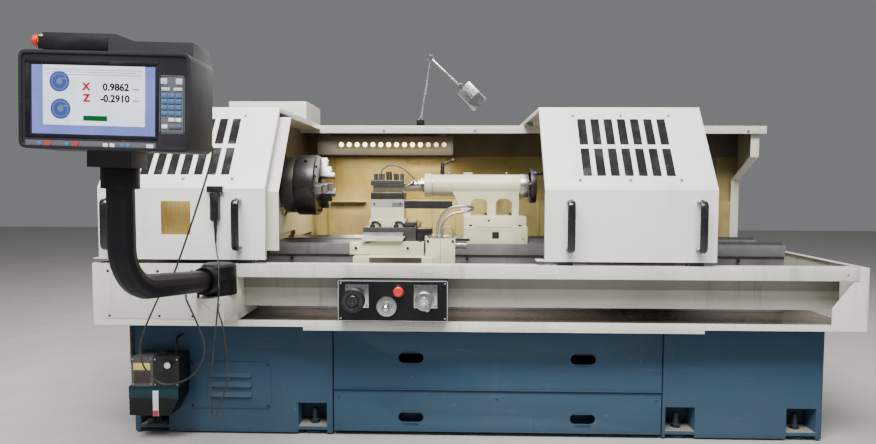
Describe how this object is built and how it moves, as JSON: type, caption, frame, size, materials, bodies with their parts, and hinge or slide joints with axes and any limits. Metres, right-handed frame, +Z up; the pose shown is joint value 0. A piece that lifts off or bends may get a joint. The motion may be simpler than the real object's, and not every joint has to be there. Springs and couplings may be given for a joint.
{
  "type": "cnc turning lathe",
  "caption": "Flat-bed turning lathe with sliding slotted hoods, three-jaw chuck, carriage with square tool post, tailstock, chip tray and a control pendant on a swinging arm; turns metal bars.",
  "frame": {"origin": "on the floor under the middle of the machine's bounding box, cords apart", "axes": "+X along the bed from the headstock to the tailstock, +Y from the operator to the back of the machine, +Z up"},
  "size_m": [3.38, 2.53, 1.913],
  "materials": {
    "blue_paint": "satin paint",
    "cream_paint": "satin paint",
    "white_paint": "satin paint",
    "splash_paint": "satin paint with an oily film",
    "black_plastic": "moulded, matt",
    "black_paint": "satin powder coat",
    "steel": "machined",
    "dark_iron": "oiled",
    "bright_steel": "ground bright",
    "smoked_window": "smoked polycarbonate",
    "red_plastic": "moulded",
    "teal_plastic": "translucent moulding",
    "cable_black": "cable jacket",
    "conduit_silver": "braided"
  },
  "bodies": {
    "root": {"left_pedestal": "blue_paint", "right_pedestal": "blue_paint", "louvre_panel": "blue_paint", "tray_floor": "cream_paint", "tray_left_end": "cream_paint", "tray_right_end": "cream_paint", "tray_front_rail": "cream_paint", "bed": "dark_iron", "headstock": "cream_paint", "lead_screw": "bright_steel", "headstock_guard": "cream_paint", "guard_roof": "cream_paint", "rear_guard_panel": "splash_paint", "guard_right_end": "cream_paint", "roof_box": "cream_paint", "work_light_bar": "dark_iron", "arm_support_box": "cream_paint", "electrical_cabinet": "cream_paint", "lube_unit": "steel", "lamp_base": "black_paint", "handset_cable": "cable_black"},
    "left_door": {"left_door": "white_paint", "left_window": "smoked_window", "handset": "black_plastic"},
    "right_door": {"right_door": "white_paint", "right_window": "smoked_window"},
    "spindle": {"spindle": "dark_iron", "chuck_body": "dark_iron"},
    "jaw_1": {"jaw_1": "steel"},
    "jaw_2": {"jaw_2": "steel"},
    "jaw_3": {"jaw_3": "steel"},
    "carriage": {"saddle": "cream_paint", "apron": "cream_paint", "control_panel": "black_paint", "conduit_1": "conduit_silver", "conduit_2": "conduit_silver"},
    "z_handwheel": {"z_handwheel": "black_plastic"},
    "x_handwheel": {"x_handwheel": "steel"},
    "joystick": {"joystick": "bright_steel"},
    "stop_button": {"stop_button": "red_plastic"},
    "cross_slide": {"cross_slide": "steel", "riser": "dark_iron", "tool_post": "steel", "coolant_line": "teal_plastic"},
    "tailstock": {"tailstock_base": "cream_paint", "tailstock_body": "cream_paint"},
    "quill": {"quill": "bright_steel"},
    "tailstock_wheel": {"tailstock_handwheel": "steel"},
    "clamp_lever": {"clamp_lever": "steel"},
    "arm": {"arm_bracket": "black_paint", "arm_tube": "black_paint", "pendant_cable": "cable_black"},
    "arm_lock_lever": {"arm_lock_lever": "black_plastic"},
    "pendant": {"pendant_housing": "black_paint"},
    "e_stop": {"e_stop": "red_plastic"},
    "lamp_lower_arm": {"lamp_lower_arm": "black_paint"},
    "lamp_upper_arm": {"lamp_upper_arm": "black_paint"},
    "lamp_head": {"lamp_head": "black_paint"},
    "chip_drawer": {"chip_drawer": "blue_paint"},
    "coolant_tank": {"coolant_tank": "blue_paint"}
  },
  "joints": [
    {"name": "left_door_slide", "type": "slide", "parent": "root", "child": "left_door", "axis": [1, 0, 0], "range_m": [0, 0.385], "deforming": ["handset_cable"]},
    {"name": "right_door_slide", "type": "slide", "parent": "root", "child": "right_door", "axis": [1, 0, 0], "range_m": [-0.55, 0.6]},
    {"name": "spindle_turn", "type": "hinge", "parent": "root", "child": "spindle", "pos_m": [-0.908, 0.185, 1.168], "axis": [1, 0, 0], "continuous": true},
    {"name": "jaw_1_slide", "type": "slide", "parent": "spindle", "child": "jaw_1", "axis": [0, -0.9848, -0.1736], "range_m": [-0.025, 0.03]},
    {"name": "jaw_2_slide", "type": "slide", "parent": "spindle", "child": "jaw_2", "axis": [0, 0.6428, -0.766], "range_m": [-0.025, 0.03]},
    {"name": "jaw_3_slide", "type": "slide", "parent": "spindle", "child": "jaw_3", "axis": [0, 0.342, 0.9397], "range_m": [-0.025, 0.03]},
    {"name": "carriage_slide", "type": "slide", "parent": "root", "child": "carriage", "axis": [1, 0, 0], "range_m": [-0.17, 0.07]},
    {"name": "z_handwheel_turn", "type": "hinge", "parent": "carriage", "child": "z_handwheel", "pos_m": [-0.506, -0.603, 0.695], "axis": [0, 1, 0], "continuous": true},
    {"name": "x_handwheel_turn", "type": "hinge", "parent": "carriage", "child": "x_handwheel", "pos_m": [-0.212, -0.603, 0.695], "axis": [0, 1, 0], "continuous": true},
    {"name": "joystick_tilt", "type": "hinge", "parent": "carriage", "child": "joystick", "pos_m": [-0.379, -0.475, 0.65], "axis": [0, 0, 1], "range_deg": [-15, 15], "stiffness_Nm_per_rad": 0.5},
    {"name": "stop_button_press", "type": "slide", "parent": "carriage", "child": "stop_button", "axis": [0, 1, 0], "range_m": [0, 0.004], "stiffness_N_per_m": 400},
    {"name": "cross_slide_feed", "type": "slide", "parent": "carriage", "child": "cross_slide", "axis": [0, 1, 0], "range_m": [-0.06, 0.045]},
    {"name": "tailstock_slide", "type": "slide", "parent": "root", "child": "tailstock", "axis": [1, 0, 0], "range_m": [-0.06, 1]},
    {"name": "tailstock_wheel_turn", "type": "hinge", "parent": "tailstock", "child": "tailstock_wheel", "pos_m": [0.29, 0.185, 1.168], "axis": [1, 0, 0], "range_deg": [0, 7200]},
    {"name": "quill_feed", "type": "slide", "parent": "tailstock", "child": "quill", "axis": [-1, 0, 0], "range_m": [0, 0.1001]},
    {"name": "clamp_lever_turn", "type": "hinge", "parent": "tailstock", "child": "clamp_lever", "pos_m": [-0.155, 0.185, 1.225], "axis": [0, 0, 1], "range_deg": [-60, 60]},
    {"name": "arm_swivel", "type": "hinge", "parent": "root", "child": "arm", "pos_m": [-1.086, -0.521, 0.707], "axis": [0, 0, 1], "range_deg": [-45, 45]},
    {"name": "arm_lock_turn", "type": "hinge", "parent": "arm", "child": "arm_lock_lever", "pos_m": [-1.158, -0.521, 0.735], "axis": [1, 0, 0], "range_deg": [-60, 60]},
    {"name": "pendant_swivel", "type": "hinge", "parent": "arm", "child": "pendant", "pos_m": [-1.19232, -1.115, 1.22428], "axis": [0.0262, 0, 0.9997], "range_deg": [-45, 45], "deforming": ["pendant_cable"]},
    {"name": "e_stop_press", "type": "slide", "parent": "pendant", "child": "e_stop", "axis": [0.9997, 0, -0.0262], "range_m": [0, 0.004], "stiffness_N_per_m": 500},
    {"name": "lamp_swivel", "type": "hinge", "parent": "root", "child": "lamp_lower_arm", "pos_m": [-0.29, 0.577, 1.5443], "axis": [0, 0, 1], "range_deg": [-170, 170]},
    {"name": "lamp_elbow", "type": "hinge", "parent": "lamp_lower_arm", "child": "lamp_upper_arm", "pos_m": [-0.233, 0.5587, 1.897], "axis": [0, 1, 0], "range_deg": [-60, 5]},
    {"name": "lamp_head_tilt", "type": "hinge", "parent": "lamp_upper_arm", "child": "lamp_head", "pos_m": [-0.06, 0.5407, 1.735], "axis": [0, 1, 0], "range_deg": [-45, 30]},
    {"name": "chip_drawer_slide", "type": "slide", "parent": "root", "child": "chip_drawer", "axis": [0, -1, 0], "range_m": [0, 0.7]},
    {"name": "coolant_tank_slide", "type": "slide", "parent": "root", "child": "coolant_tank", "axis": [0, -1, 0], "range_m": [0, 0.8]}
  ],
  "couplings": [
    {"joint": "jaw_2_slide", "follows": "jaw_1_slide", "ratio": 1},
    {"joint": "jaw_3_slide", "follows": "jaw_1_slide", "ratio": 1},
    {"joint": "quill_feed", "follows": "tailstock_wheel_turn", "m_per_rad": 0.00079577}
  ]
}
